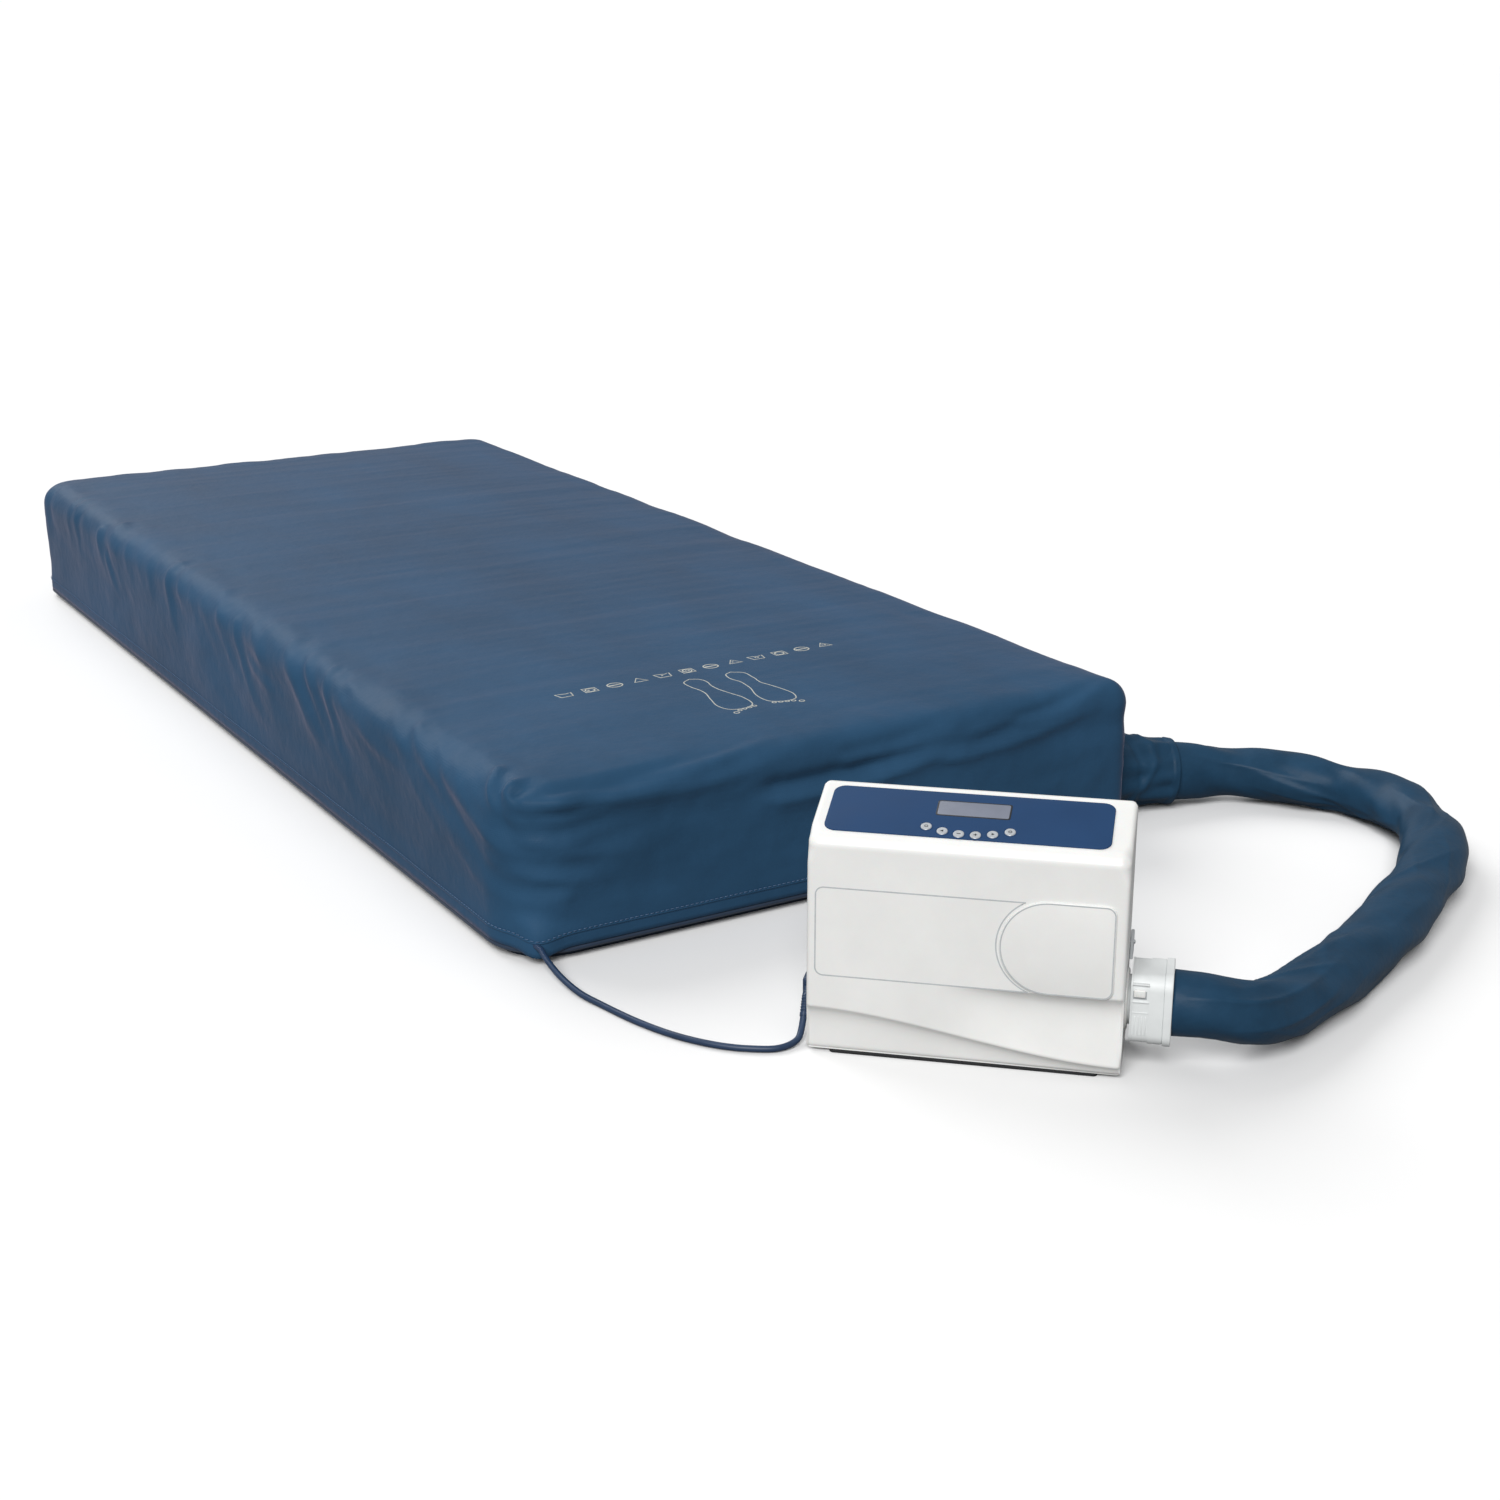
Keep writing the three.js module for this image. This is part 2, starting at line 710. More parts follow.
function buildSupply() {
  const hoseEnd = lineX + supply.radius;
  for (const [name, line, parity] of [['a', supply.highLine, 0], ['b', supply.lowLine, 1]]) {
    const side = name === 'a' ? -1 : 1;
    const hoseY = boot.y + (side * hose.spacing) / 2;
    const start = hoseY - supply.elbowWidth / 2;
    const last = cellMiddle(cell.count - 1) + supply.headRun;
    const low = Math.min(line, boot.z) - supply.radius;
    const high = Math.max(line, boot.z) + supply.radius;
    let pipe = join(
      rod('y', supply.radius, start + sunk, last, [lineX, 0, line], 8),
      box(
        [lineX - supply.radius, start, name === 'a' ? boot.z - hose.diameter / 2 : low],
        [hoseEnd, start + supply.elbowWidth, name === 'a' ? high : boot.z + hose.diameter / 2],
      ),
    );
    for (let index = parity; index < cell.count; index += 2) {
      const stub = rod('x', supply.stubRadius, cellHalf + fit, lineX, [0, cellMiddle(index), line], 6);
      pipe = join(pipe, stub);
    }
    const way = rod('x', hose.bore / 2, lineX, hoseEnd + overrun, [0, hoseY, boot.z], 8);
    add(object, `supply_line_${name}`, cut(pipe, way), clearTube);
  }
}

function buildValve() {
  const outside = skirtOuter + fit;
  const flangeOut = outside + valve.flangeThickness;
  const inside = lineX - valve.neckRadius;
  const lineTop = supply.highLine + supply.radius;
  const body = join(
    rod('x', valve.radius, inside, flangeOut, [0, valve.y, valve.height]),
    rod('x', valve.flangeRadius, outside, flangeOut, [0, valve.y, valve.height]),
    rod('z', valve.neckRadius, lineTop + fit, valve.height, [lineX, valve.y, 0], 8),
  );
  const bored = cut(
    body, rod('x', valve.bore, inside + cell.wall * 2, flangeOut + overrun, [0, valve.y, valve.height], 16),
  );
  add(object, 'deflation_valve_body', bored, whiteShell);

  const capIn = flangeOut + fit;
  const capOut = capIn + valve.capThickness;
  const grip = box(
    [capOut - sunk, valve.y - valve.gripWidth / 2, valve.height - valve.gripLength / 2],
    [capOut + valve.gripHeight, valve.y + valve.gripWidth / 2, valve.height + valve.gripLength / 2],
  );
  const skirtDisc = rod('x', valve.capRadius, capIn, capOut, [0, valve.y, valve.height], 20);
  const stopperIn = capIn - valve.capThickness;
  const stopper = rod('x', valve.bore - slack, stopperIn, capIn + sunk, [0, valve.y, valve.height]);
  add(object, 'deflation_valve_cap', join(skirtDisc, grip, stopper), greyPart);
}

// The pump's own frame: x from left to right, y from front to back
const pumpFrame = new THREE.Group();
pumpFrame.position.set(pump.x, pump.y, 0);
pumpFrame.rotation.z = pump.turn;
object.add(pumpFrame);
pumpFrame.updateMatrixWorld();

function fromPump(x, y, z) {
  return new THREE.Vector3(x, y, z).applyMatrix4(pumpFrame.matrixWorld).toArray();
}

const halfPump = pump.width / 2;
const compressorX = -halfPump + inlet.length + compressor.gap + compressor.width / 2;
const valveBlockX = halfPump - connector.spigotLength - valveBlock.gap - valveBlock.width / 2;
const connectorEnd = halfPump + connector.start + connector.length;

function buildUmbilical() {
  const hoseStart = connectorEnd - connector.hoseSocket + fit;
  const hoseEnd = lineX + supply.radius + fit;
  const straight = hose.diameter;
  const whole = curve([
    fromPump(hoseStart, connector.depth, connector.z),
    fromPump(connectorEnd, connector.depth, connector.z),
    fromPump(connectorEnd + straight, connector.depth, connector.z),
    fromPump(connectorEnd + 2 * straight, connector.depth, connector.z - fit),
    ...umbilicalRoute,
    bootMouth,
    bootBend,
    [bootRoot + straight, boot.y, boot.z],
    [bootRoot - straight / 2, boot.y, boot.z],
    [hoseEnd, boot.y, boot.z],
  ]);
  const length = whole.getLength();
  console.log(`umbilical hose length ${length.toFixed(0)} mm`);
  const sleeveStart = (connector.hoseSocket) / length;
  const mouth = shareNear(whole, bootMouth);
  const root = shareNear(whole, [bootRoot, boot.y, boot.z]);
  const sleeveEnd = mouth + sleeve.overlap / length;

  const sleeveOuter = (share, angle) => {
    const bend = Math.sin(Math.PI * share) ** 1.2;
    const mouthRadius = boot.mouthRadius - boot.wall - 4 * fit;
    const plain = sleeve.pumpRadius + (mouthRadius - sleeve.pumpRadius) * share ** 3;
    const halfWidth = plain + (sleeve.bendHalfWidth - plain) * bend;
    const halfHeight = plain + (sleeve.bendHalfHeight - plain) * bend;
    const ends = Math.min(1, share / sleeve.easeShare, (1 - share) / sleeve.easeShare);
    const wave = Math.sin(sleeve.foldsRound * angle + 2 * Math.PI * sleeve.foldTwists * share);
    const fold = sleeve.foldHeight * ends * (wave - 1) / 2;
    return [(halfWidth + fold) * Math.cos(angle), (halfHeight + fold) * Math.sin(angle)];
  };
  const sleeveInner = (share, angle) => {
    const [side, lift] = sleeveOuter(share, angle);
    const scale = 1 - sleeve.wall / Math.hypot(side, lift);
    return [side * scale, lift * scale];
  };
  const stretch = [sleeveStart, sleeveEnd];
  const cloth = tube(whole, stretch, sleeve.rings, sleeve.sides, sleeveOuter, sleeveInner);
  add(object, 'umbilical_sleeve', cloth, navyCloth);

  const bootRadius = (share) => boot.mouthRadius + (boot.rootRadius - boot.mouthRadius) * share;
  const bootOuter = (share, angle) => circle(bootRadius(share))(share, angle);
  const bootInner = (share, angle) => circle(bootRadius(share) - boot.wall)(share, angle);
  const beyond = root + (boot.rootRadius / 4) / length;
  const cuff = tube(whole, [mouth, beyond], 4, 16, bootOuter, bootInner);
  const flush = box([0, -mattress.length, -mattress.height], [bootRoot, 0, mattress.height]);
  add(object, 'umbilical_boot', cut(cuff, flush), navyCloth);

  for (const [name, side] of [['a', -1], ['b', 1]]) {
    const shift = (side * hose.spacing) / 2;
    const pipe = tube(
      whole, [0, 1], hose.rings, hose.sides, circle(hose.diameter / 2, shift), circle(hose.bore / 2, shift),
    );
    add(object, `air_hose_${name}`, pipe, clearTube);
  }
}

function connectorSection(inset) {
  const halfDepth = connector.width / 2 - inset;
  const halfHeight = connector.height / 2 - inset;
  return outline(halfDepth, halfHeight, new Array(4).fill(connector.corner - inset));
}

function buildConnector() {
  const start = halfPump + connector.start;
  const centre = [0, connector.depth, connector.z];
  const shell = sideways(prism(connectorSection(0), start, connectorEnd, 2, 2, 1)).translate(...centre);
  const spigotStart = halfPump - connector.spigotLength;
  const front = connector.depth - connector.width / 2;
  const slotTop = connector.z + connector.height / 2 - connector.slotBelowTop + connector.slotHeight / 2;
  const slotBottom = slotTop - connector.slotHeight;
  const window = box(
    [start - overrun, front - overrun, slotBottom],
    [start + connector.slotLength, front + connector.slotDepth, slotTop],
  );
  const pinX = start + fit + latch.length - latch.lugLength / 2;
  const pinPlace = [pinX, front + latch.pinDepth, 0];
  const pinBottom = slotBottom - latch.pinInWall;
  const pinTop = slotTop + latch.pinInWall;
  const ways = [rod('z', latch.pinRadius + slack, pinBottom - fit, pinTop + fit, pinPlace, 8)];
  for (const side of [1, -1]) {
    const y = connector.depth - (side * hose.spacing) / 2;
    const socketStart = connectorEnd - connector.hoseSocket;
    const wayRadius = hose.diameter / 2 + slack;
    ways.push(rod('x', wayRadius, socketStart, connectorEnd + overrun, [0, y, connector.z], 12));
    ways.push(rod('x', hose.bore / 2, spigotStart - overrun, connectorEnd, [0, y, connector.z], 8));
  }
  const body = cut(
    join(shell, rod('x', connector.spigotRadius, spigotStart, start + 2 * sunk, centre, 24)),
    window,
    ...ways,
  );
  add(pumpFrame, 'hose_connector', body, nylonWhite);

  // The latch tongue lies in its window and tips about a pin at its outer end
  const tongueTop = slotTop - (connector.slotHeight - latch.height) / 2;
  const tongueFront = front - latch.proud;
  const tongueEnd = start + fit + latch.length;
  const tongue = join(
    box(
      [start + fit, tongueFront, tongueTop - latch.height],
      [tongueEnd, tongueFront + latch.thickness, tongueTop],
    ),
    box(
      [tongueEnd - latch.lugLength, tongueFront + sunk, tongueTop - latch.height + sunk],
      [tongueEnd - sunk, front + latch.pinDepth + 2 * latch.pinRadius, tongueTop - sunk],
    ),
    rod('z', latch.pinRadius, pinBottom, pinTop, pinPlace, 8),
  );
  add(pumpFrame, 'connector_latch', tongue, whiteShell);
}

// The pump's outline seen from its right side, drawn in (depth, height)
function pumpProfile(inset) {
  const bottom = foot.height + fit + inset;
  const slope = Math.atan2(pump.rise, pump.depth);
  const rearHeight = pump.frontHeight + pump.rise;
  const shape = new THREE.Shape();
  const brow = pump.brow - inset / 2;
  const ridge = pump.ridge - inset / 2;
  const drop = inset / Math.cos(slope);
  const front = inset;
  const back = pump.depth - inset;
  const browZ = pump.frontHeight - drop + Math.tan(slope) * inset;
  const ridgeZ = rearHeight - drop - Math.tan(slope) * inset;
  const browBack = brow * Math.tan((Math.PI / 2 - slope) / 2);
  const ridgeBack = ridge * Math.tan((Math.PI / 2 + slope) / 2);
  shape.moveTo(front, bottom);
  shape.lineTo(back, bottom);
  shape.lineTo(back, ridgeZ - ridgeBack);
  shape.absarc(back - ridge, ridgeZ - ridgeBack, ridge, 0, Math.PI / 2 + slope);
  shape.lineTo(front + browBack * Math.cos(slope), browZ + browBack * Math.sin(slope));
  shape.absarc(front + brow, browZ - browBack, brow, Math.PI / 2 + slope, Math.PI);
  return shape;
}

// A point on the facia: x across it, and how far up its slope
const faciaSlope = Math.atan2(pump.rise, pump.depth);

function onFacia(geometry) {
  return geometry.rotateX(faciaSlope).translate(0, 0, pump.frontHeight);
}

function skirtCurve(x) {
  const share = THREE.MathUtils.clamp(0.5 + x / pump.width, 0, 1);
  const ease = share * share * (3 - 2 * share);
  return skirtStep.leftHeight + (skirtStep.rightHeight - skirtStep.leftHeight) * ease;
}

function frontFeatures(block) {
  const height = badge.top - badge.bottom;
  const radius = height / 2;
  const shape = new THREE.Shape();
  shape.moveTo(badge.right - badge.corner, badge.top);
  shape.lineTo(badge.left + radius, badge.top);
  shape.absarc(badge.left + radius, badge.bottom + radius, radius, Math.PI / 2, 1.5 * Math.PI);
  shape.lineTo(badge.right - badge.corner, badge.bottom);
  const cornerX = badge.right - badge.corner;
  shape.absarc(cornerX, badge.bottom + badge.corner, badge.corner, 1.5 * Math.PI, 2 * Math.PI);
  shape.absarc(cornerX, badge.top - badge.corner, badge.corner, 0, Math.PI / 2);
  const plate = facing(prism(shape, -sunk, badge.proud, 1, 5, 1));
  const keepClear = facing(prism(shape, -pump.depth, overrun, 0, 5));
  const hollow = new THREE.SphereGeometry(1, 22, 12);
  hollow.scale(scoop.radiusX, scoop.depth, scoop.radiusZ);
  hollow.translate(scoop.x, 0, scoop.z);
  const dish = cut(hollow, keepClear, box(
    [-pump.width, -pump.depth, skirtCurve(scoop.x) + scoop.radiusZ / 2 + badge.bottom / 2],
    [pump.width, pump.depth, pump.frontHeight],
  ));
  const skirt = new THREE.Shape();
  const reach = halfPump + overrun;
  skirt.moveTo(-reach, -overrun);
  skirt.lineTo(reach, -overrun);
  const steps = 14;
  for (let step = steps; step >= 0; step -= 1) {
    const x = -reach + (2 * reach * step) / steps;
    skirt.lineTo(x, skirtCurve(x));
  }
  const recess = facing(prism(skirt, -skirtStep.depth, overrun));
  return join(cut(block, dish, recess), plate);
}

function buildHousings() {
  const profile = sideways(prism(pumpProfile(0), -halfPump, halfPump, pump.edge, 2, 2));
  // Inside the shell the front wall stays whole behind the scoop and the stepped skirt
  const backing = new THREE.SphereGeometry(1, 16, 10);
  backing.scale(scoop.radiusX + pump.wall, scoop.depth + pump.wall, scoop.radiusZ + pump.wall);
  backing.translate(scoop.x, 0, scoop.z);
  const apron = box(
    [-pump.width, -pump.wall, -overrun],
    [pump.width, skirtStep.depth + pump.wall, skirtStep.leftHeight + pump.wall],
  );
  const inside = cut(sideways(prism(
    pumpProfile(pump.wall), -halfPump + pump.wall, halfPump - pump.wall, 0, 2,
  )), backing, apron);
  const far = pump.frontHeight * 2;
  const port = rod(
    'x', connector.spigotRadius + slack, halfPump - 2 * connector.spigotLength, halfPump + overrun,
    [0, connector.depth, connector.z], 24,
  );

  // Front housing
  const frontBlock = cut(
    profile, box([-far, pump.split, -far], [far, far, far]),
  );
  const openings = [];
  for (const place of buttonPlaces()) {
    openings.push(onFacia(rodOnFacia(place, button.stemRadius + slack, -3 * pump.wall, overrun)));
  }
  openings.push(rod(
    'x', lever.pinRadius + fit, halfPump - 2 * pump.wall, halfPump + overrun,
    [0, lever.depth - lever.pinLength * 2, lever.z - lever.height / 2], 10,
  ));
  const posts = [-1, 1].map((side) => onFacia(
    rodOnFacia([side * board.postX, board.postAlong], board.postRadius, -button.stem + fit, -pump.wall + sunk),
  ));
  openings.push(onFacia(prism(
    outline(display.width / 2 + fit, display.height / 2 + fit, new Array(4).fill(display.corner)),
    -2 * pump.wall, overrun,
  ).translate(display.x, display.along, 0)));
  openings.push(box(
    [-halfPump - overrun, inlet.depth - inlet.width / 2 - fit, inlet.z - inlet.height / 2 - fit],
    [-halfPump + 2 * pump.wall, inlet.depth + inlet.width / 2 + fit, inlet.z + inlet.height / 2 + fit],
  ));
  openings.push(box(
    [
      -halfPump - overrun,
      powerSwitch.depth - powerSwitch.width / 2 - slack,
      powerSwitch.z - powerSwitch.height / 2 - 2 * slack,
    ],
    [
      -halfPump + 2 * pump.wall,
      powerSwitch.depth + powerSwitch.width / 2 + slack,
      powerSwitch.z + powerSwitch.height / 2 + 2 * slack,
    ],
  ));
  const frontShell = join(cut(frontFeatures(frontBlock), inside, port, ...openings), ...posts);
  add(pumpFrame, 'front_housing', frontShell, whiteShell);

  // Rear housing
  const rearBlock = cut(profile, box([-far, -far, -far], [far, pump.split + fit, far]));
  const back = pump.depth;
  const ears = [];
  const pinWays = [];
  for (const side of [-1, 1]) {
    for (const place of [1, -1]) {
      const inner = hook.z + place * (hook.barrelHeight / 2 + fit);
      const outer = inner + place * hook.earThickness;
      ears.push(box(
        [side * hook.x - hook.earWidth / 2, back - sunk, Math.min(inner, outer)],
        [side * hook.x + hook.earWidth / 2, back + hook.earReach, Math.max(inner, outer)],
      ));
    }
    pinWays.push(rod(
      'z', hook.pinRadius + fit, -hook.barrelHeight, hook.barrelHeight,
      [side * hook.x, back + hook.standOff, hook.z], 10,
    ));
  }
  const cuts = [];
  for (let vent = 0; vent < filter.vents; vent += 1) {
    const z = filter.z + (vent - (filter.vents - 1) / 2) * filter.ventPitch;
    cuts.push(box(
      [filter.x - filter.width / 3, back - 2 * pump.wall, z - filter.ventHeight / 2],
      [filter.x + filter.width / 3, back + overrun, z + filter.ventHeight / 2],
    ));
  }
  const rearShell = cut(join(cut(rearBlock, inside, ...cuts), ...ears), ...pinWays);
  add(pumpFrame, 'rear_housing', rearShell, whiteShell);
}

function buttonPlaces() {
  const places = [];
  for (let index = 0; index < button.count; index += 1) {
    const x = button.middleX + (index - (button.count - 1) / 2) * button.spacing;
    const share = (2 * index) / (button.count - 1) - 1;
    places.push([x, button.middleAlong + button.endRise * share * share]);
  }
  return places;
}

function rodOnFacia([x, along], radius, from, to) {
  return rod('z', radius, from, to, [x, along, 0], 12);
}

function buttonShape(inset) {
  const shape = new THREE.Shape();
  shape.absellipse(0, 0, button.width / 2 - inset, button.height / 2 - inset, 0, 2 * Math.PI);
  return shape;
}

function buildFacia() {
  const sheet = prism(
    outline(overlay.width / 2, overlay.height / 2, new Array(4).fill(overlay.corner)),
    fit, fit + overlay.thickness, 0, 3,
  ).translate(overlay.x, overlay.along, 0);
  const windows = buttonPlaces().map(([x, along]) => prism(
    buttonShape(-slack), -overrun, overrun, 0, 4,
  ).translate(x, along, 0));
  windows.push(prism(
    outline(display.width / 2 + fit, display.height / 2 + fit, new Array(4).fill(display.corner)),
    -overrun, overrun,
  ).translate(display.x, display.along, 0));
  add(pumpFrame, 'control_overlay', onFacia(cut(sheet, ...windows)), bluePanel);

  const glassTop = fit + overlay.thickness - fit;
  const glass = prism(
    outline(display.width / 2, display.height / 2, new Array(4).fill(display.corner)),
    glassTop - display.thickness, glassTop, 0, 2,
  ).translate(display.x, display.along, 0);
  add(pumpFrame, 'display_window', onFacia(glass), displayGlass);

  buttonPlaces().forEach(([x, along], index) => {
    const keyBottom = fit + button.travel;
    const keyTop = fit + overlay.thickness + button.proud;
    const key = join(
      prism(buttonShape(0), keyBottom, keyTop, fit, 4, 1),
      rod('z', button.stemRadius, button.travel + fit - button.stem, keyBottom + sunk, [0, 0, 0], 8),
    );
    add(pumpFrame, `button_${index + 1}`, onFacia(key.translate(x, along, 0)), keySilver);
  });

  const cardTop = -button.stem;
  const card = box(
    [-board.width / 2, overlay.along - board.height / 2, cardTop - board.thickness],
    [board.width / 2, overlay.along + board.height / 2, cardTop],
  );
  add(pumpFrame, 'circuit_board', onFacia(card), boardGreen);
}

function buildSides() {
  const wallX = -halfPump;
  // The rocker stands in its window and tips about an axis that runs from front to back
  const rocker = sideways(prism(
    outline(powerSwitch.width / 2, powerSwitch.height / 2, new Array(4).fill(slack)),
    wallX - powerSwitch.proud, wallX + pump.wall, 0, 1,
  )).translate(0, powerSwitch.depth, powerSwitch.z);
  add(pumpFrame, 'power_switch', rocker, blackRubber);

  const socket = join(
    box(
      [wallX - inlet.lipThickness, inlet.depth - inlet.width / 2, inlet.z - inlet.height / 2],
      [wallX + inlet.length, inlet.depth + inlet.width / 2, inlet.z + inlet.height / 2],
    ),
    box(
      [
        wallX - fit - inlet.lipThickness,
        inlet.depth - inlet.width / 2 - inlet.lip,
        inlet.z - inlet.height / 2 - inlet.lip,
      ],
      [wallX - fit, inlet.depth + inlet.width / 2 + inlet.lip, inlet.z + inlet.height / 2 + inlet.lip],
    ),
  );
  add(pumpFrame, 'mains_inlet', socket, blackRubber);

  const plugIn = wallX - 2 * fit - inlet.lipThickness;
  const plugShape = outline(
    mainsConnector.width / 2, mainsConnector.height / 2, new Array(4).fill(mainsConnector.corner),
  );
  const cordX = plugIn - mainsConnector.thickness / 2;
  const gripFront = inlet.depth - mainsConnector.width / 2 - mainsConnector.gripLength;
  const shell = join(
    sideways(prism(plugShape, plugIn - mainsConnector.thickness, plugIn, 1, 3, 1))
      .translate(0, inlet.depth, inlet.z),
    rod('y', mainsConnector.gripRadius, gripFront, inlet.depth, [cordX, 0, inlet.z], 12),
  );
  add(pumpFrame, 'mains_connector', shell, cordJacket);

  // The release lever: a small wedge on the right wall, above the hose connector
  const outerWall = halfPump + fit;
  const wedge = new THREE.Shape();
  wedge.moveTo(0, 0);
  wedge.lineTo(-lever.length, -lever.height);
  wedge.lineTo(0, -lever.height);
  const blade = join(
    sideways(prism(wedge, outerWall, outerWall + lever.thickness)).translate(0, lever.depth, lever.z),
    rod('x', lever.pinRadius, halfPump - lever.pinLength, outerWall + sunk, [
      0, lever.depth - lever.pinLength * 2, lever.z - lever.height / 2,
    ], 10),
  );
  add(pumpFrame, 'release_lever', blade, greyPart);

  for (const [name, y] of [['front_foot', foot.inset], ['rear_foot', pump.depth - foot.inset]]) {
    const strip = prism(
      outline(foot.length / 2, foot.width / 2, new Array(4).fill(foot.width / 3)), 0, foot.height, 0, 2,
    ).translate(0, y, 0);
    add(pumpFrame, name, strip, blackRubber);
  }
}

function buildHooks() {
  for (const [name, side] of [['left_hook', -1], ['right_hook', 1]]) {
    const shape = new THREE.Shape();
    const half = hook.width / 2;
    shape.moveTo(0, half);
    shape.lineTo(hook.reach - hook.width, half);
    shape.absarc(hook.reach - hook.width, -half, hook.width, Math.PI / 2, 0, true);
    shape.lineTo(hook.reach, -half - hook.drop);
    shape.absarc(hook.reach - half, -half - hook.drop, half, 0, -Math.PI, true);
    shape.lineTo(hook.reach - hook.width, -half);
    shape.lineTo(0, -half);
    const plate = prism(shape, -hook.thickness / 2, hook.thickness / 2, 1, 2, 1);
    const arm = facing(plate);
    if (side > 0) arm.scale(-1, 1, 1);
    const barrel = rod('z', hook.barrelRadius, -hook.barrelHeight / 2, hook.barrelHeight / 2, [0, 0, 0], 12);
    const pinReach = hook.barrelHeight / 2 + hook.pinLength;
    const pin = rod('z', hook.pinRadius, -pinReach, pinReach, [0, 0, 0], 8);
    const whole = join(barrel, arm, pin);
    whole.translate(side * hook.x, pump.depth + hook.standOff, hook.z);
    add(pumpFrame, name, whole, greyPart);
  }
}

function buildInnards() {
  const floor = foot.height + fit + pump.wall + fit;
  const casing = box(
    [compressorX - compressor.width / 2, compressor.y - compressor.depth / 2, floor],
    [compressorX + compressor.width / 2, compressor.y + compressor.depth / 2, floor + compressor.height],
  );
  const headX = compressorX + compressor.width / 2;
  const head = rod(
    'x', compressor.headRadius, headX - sunk, headX + compressor.headLength,
    [0, compressor.y, floor + compressor.height / 2], 14,
  );
  add(pumpFrame, 'compressor', join(casing, head), steel);

  const blockTop = floor + valveBlock.height;
  const nozzleEnd = halfPump - connector.spigotLength - fit;
  let block = join(
    box(
      [valveBlockX - valveBlock.width / 2, connector.depth - valveBlock.depth / 2, floor],
      [valveBlockX + valveBlock.width / 2, connector.depth + valveBlock.depth / 2, blockTop],
    ),
    rod(
      'z', valveBlock.shaftRadius, -sunk, valveBlock.shaftHeight + rotor.thickness,
      [valveBlockX, connector.depth, blockTop], 10,
    ),
  );
  for (const side of [1, -1]) {
    const y = connector.depth + (side * hose.spacing) / 2;
    block = join(block, rod('x', valveBlock.nozzleRadius, valveBlockX, nozzleEnd, [0, y, connector.z], 8));
  }
  add(pumpFrame, 'valve_block', block, greyPart);

  const discBottom = blockTop + fit;
  const discTop = discBottom + rotor.thickness;
  const disc = join(
    rod('z', rotor.radius, 0, rotor.thickness, [0, 0, discBottom], 20),
    rod('z', rotor.lobeRadius, -sunk, rotor.lobeHeight, [rotor.lobePlace, 0, discTop], 8),
  );
  const bored = cut(disc, rod(
    'z', valveBlock.shaftRadius + fit, -rotor.radius, rotor.radius, [0, 0, discTop], 10,
  ));
  add(pumpFrame, 'valve_rotor', bored.translate(valveBlockX, connector.depth, 0), whiteShell);

  const padBack = pump.depth - pump.wall - fit;
  const pad = box(
    [filter.x - filter.width / 2, padBack - filter.thickness, filter.z - filter.height / 2],
    [filter.x + filter.width / 2, padBack, filter.z + filter.height / 2],
  );
  add(pumpFrame, 'air_filter', pad, foamGrey);
}

// The mains lead: free stretch, held stretch, coil with its lead-in and tail, tie and plug
function coilPoints() {
  const points = [];
  const spread = (coil.turnsEachLayer * coil.pitch) / 2;
  const steps = coil.turnsEachLayer * coil.stepsEachTurn;
  const climbSteps = coil.stepsEachTurn / 2;
  const floorHeight = cord.diameter / 2;
  let turn = 0;
  for (let layer = 0; layer < coil.layers; layer += 1) {
    const inward = layer % 2 === 0;
    for (let step = 0; step < steps; step += 1) {
      const share = step / steps;
      const radius = coil.middleRadius + spread * (inward ? 1 - 2 * share : 2 * share - 1);
      points.push([radius, turn, floorHeight + layer * coil.pitch]);
      turn += 1 / coil.stepsEachTurn;
    }
    const radius = coil.middleRadius + (inward ? -spread : spread);
    const climb = layer < coil.layers - 1 ? climbSteps : 1;
    for (let step = 0; step < climb; step += 1) {
      points.push([radius, turn, floorHeight + (layer + (climb > 1 ? step / climbSteps : 0)) * coil.pitch]);
      turn += 1 / coil.stepsEachTurn;
    }
  }
  return points.map(([radius, turns, height]) => {
    const angle = Math.PI - 2 * Math.PI * turns;
    return [coil.x + radius * Math.cos(angle), coil.y + radius * Math.sin(angle), height];
  });
}

function leastSelfGap(points, apart) {
  let least = Infinity;
  for (let i = 0; i < points.length; i += 1) {
    for (let j = i + apart; j < points.length; j += 1) {
      least = Math.min(least, points[i].distanceTo(points[j]));
    }
  }
  return least;
}

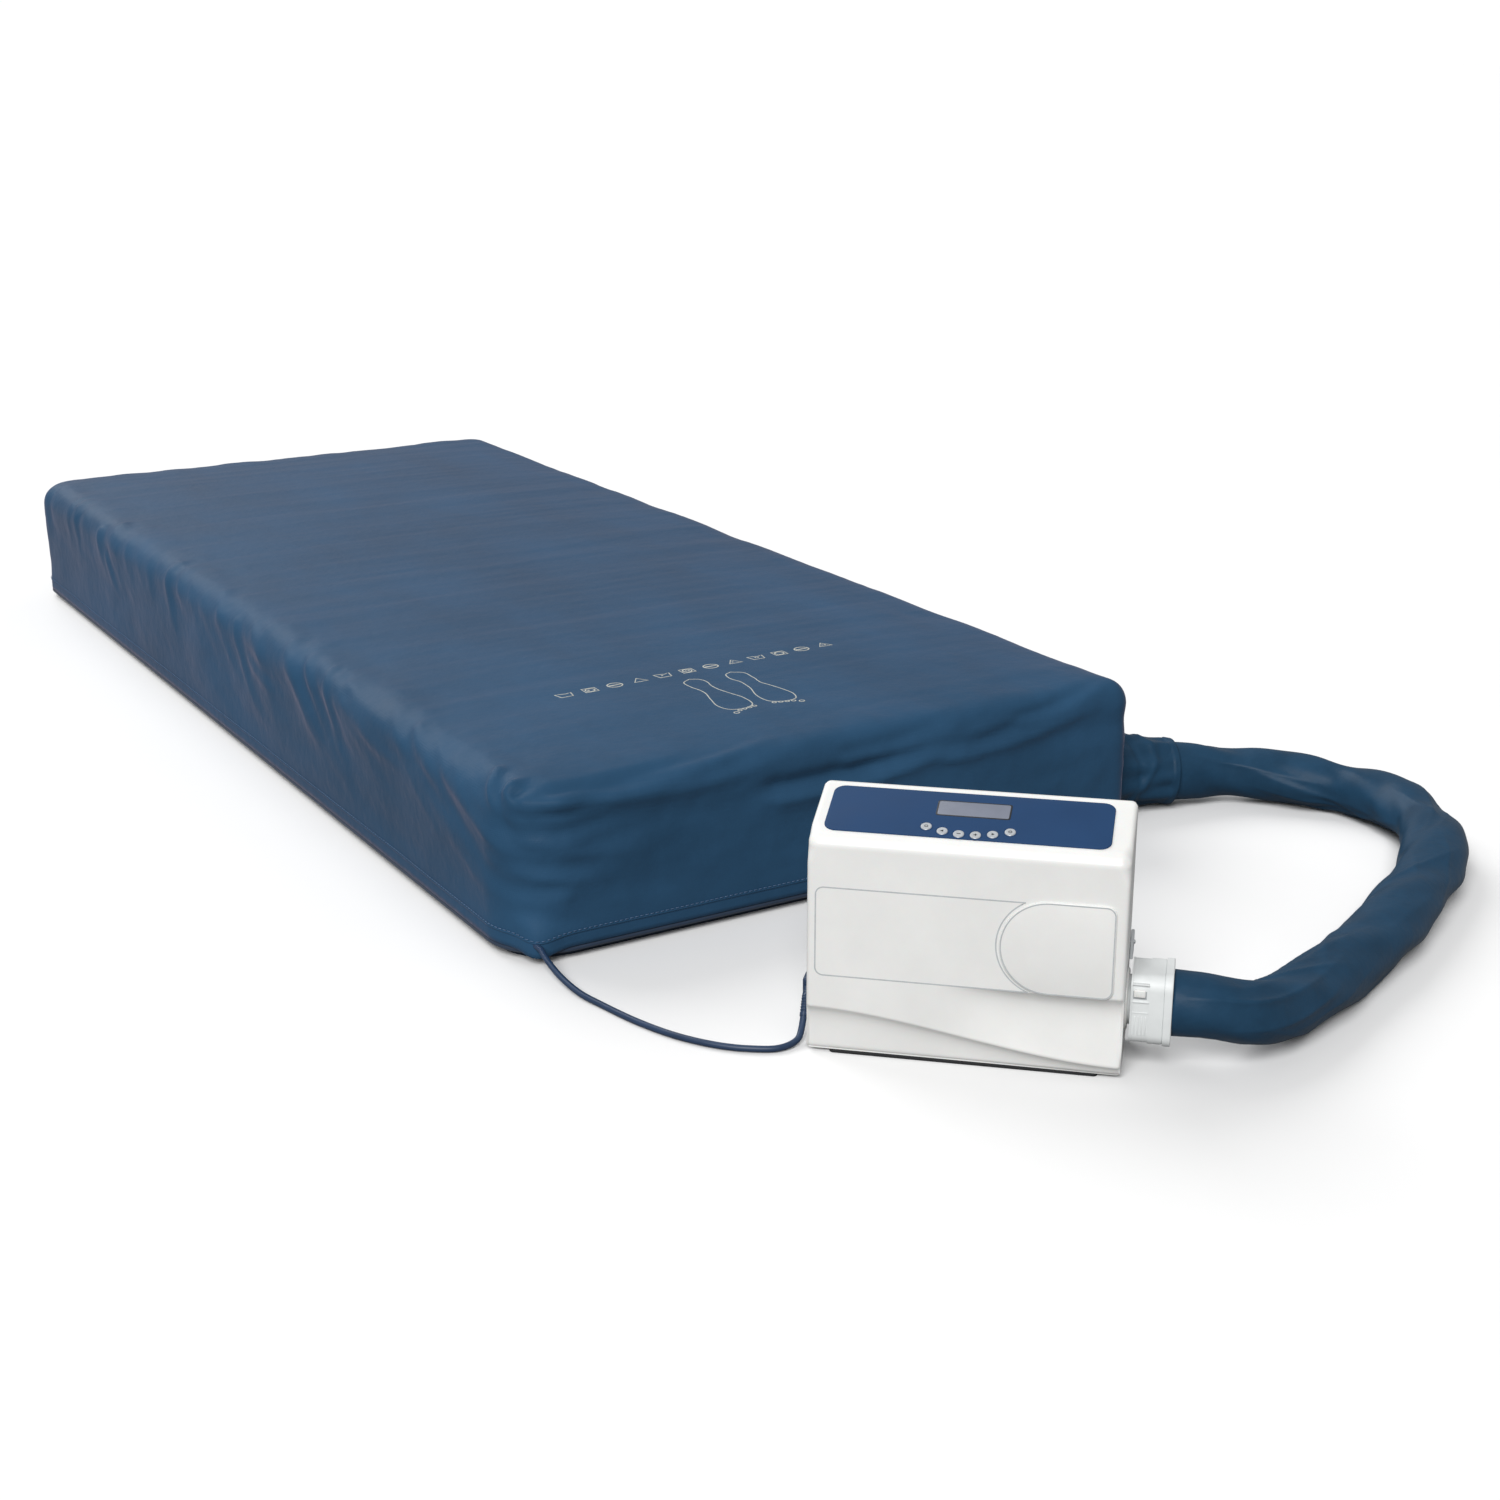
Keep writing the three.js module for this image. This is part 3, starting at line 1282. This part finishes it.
function buildCord() {
  const round = circle(cord.diameter / 2);
  const footExit = skirtOuterEnd;
  const headExit = skirtOuterEnd + 2 * fit;
  const held = curve([[tunnelX, -footExit, tunnel.height], [tunnelX, headExit, tunnel.height]]);
  add(object, 'mains_cord_held', tube(held, [0, 1], 2, cord.sides, round), cordJacket);

  const plugIn = -halfPump - 2 * fit - inlet.lipThickness;
  const cordX = plugIn - mainsConnector.thickness / 2;
  const gripFront = inlet.depth - mainsConnector.width / 2 - mainsConnector.gripLength - fit;
  const free = curve([
    [tunnelX, -footExit - fit, tunnel.height],
    [tunnelX, -footExit - cord.diameter, tunnel.height],
    ...cordRoute,
    fromPump(cordX, gripFront - 5 * cord.diameter, inlet.z / 3),
    fromPump(cordX, gripFront - 2 * cord.diameter, 0.85 * inlet.z),
    fromPump(cordX, gripFront - cord.diameter, inlet.z),
    fromPump(cordX, gripFront, inlet.z),
  ]);
  add(object, 'mains_cord_free', tube(free, [0, 1], 26, cord.sides, round), cordJacket);

  const plugCordX = plug.x - plug.length / 2 - plug.gripLength - fit;
  const turns = coilPoints();
  const wound = curve([
    [tunnelX, headExit + fit, tunnel.height],
    [tunnelX, headExit + 2 * cord.diameter, tunnel.height - fit],
    ...coilLeadIn,
    ...turns,
    ...coilTail,
    [plugCordX - cord.diameter, plug.y, plug.height / 2],
    [plugCordX, plug.y, plug.height / 2],
  ]);
  const rings = wound.points.length - 1;
  const loops = tube(wound, [0, 1], rings, cord.coilSides, round, null, true);
  add(object, 'mains_cord_coil', loops, cordJacket);
  const samples = turns.map((point) => new THREE.Vector3(...point));
  const gap = leastSelfGap(samples, coil.stepsEachTurn / 2) - cord.diameter;
  const total = held.getLength() + free.getLength() + wound.getLength();
  console.log(`coil's least gap to itself ${gap.toFixed(2)} mm`);
  console.log(`mains lead length ${total.toFixed(0)} mm, free stretch ${free.getLength().toFixed(0)} mm`);

  // The tie is a flat band round all the coil's turns at the side away from the plug
  const spread = (coil.turnsEachLayer * coil.pitch) / 2;
  const bandHalf = spread + cord.diameter / 2 + coil.pitch / 2 + fit;
  const bandTop = cord.diameter + (coil.layers - 1) * coil.pitch + fit;
  const top = bandTop + tie.thickness;
  const middle = coil.y + coil.middleRadius;
  const band = cut(
    box([coil.x - tie.width / 2, middle - bandHalf - tie.thickness, 0], [
      coil.x + tie.width / 2, middle + bandHalf + tie.thickness, top,
    ]),
    box([coil.x - tie.width, middle - bandHalf, -overrun], [coil.x + tie.width, middle + bandHalf, bandTop]),
  );
  add(object, 'coil_tie', band, blackRubber);

  const body = join(
    prism(
      outline(plug.length / 2, plug.width / 2, new Array(4).fill(plug.corner)), 0, plug.height, 2, 3, 1,
    ),
    box([-plug.length / 2 - plug.gripLength, -plug.gripWidth / 2, fit], [
      -plug.length / 2 + plug.corner, plug.gripWidth / 2, plug.height - fit,
    ]),
    ...[-1, 1].map((side) => box(
      [
        -plug.earthPinPlace / 2 - plug.livePinThickness / 2,
        (side * plug.livePinSpan) / 2 - plug.livePinWidth / 2,
        plug.height - sunk,
      ],
      [
        -plug.earthPinPlace / 2 + plug.livePinThickness / 2,
        (side * plug.livePinSpan) / 2 + plug.livePinWidth / 2,
        plug.height + plug.pinLength,
      ],
    )),
    box(
      [
        plug.earthPinPlace / 2 - plug.earthPinThickness / 2,
        -plug.earthPinWidth / 2,
        plug.height - sunk,
      ],
      [
        plug.earthPinPlace / 2 + plug.earthPinThickness / 2,
        plug.earthPinWidth / 2,
        plug.height + plug.pinLength,
      ],
    ),
  );
  add(object, 'mains_plug', body.translate(plug.x, plug.y, 0), cordJacket);
}

buildCovers();
buildCells();
buildSupply();
buildValve();
buildUmbilical();
buildConnector();
buildHousings();
buildFacia();
buildSides();
buildHooks();
buildInnards();
buildCord();

export default object;
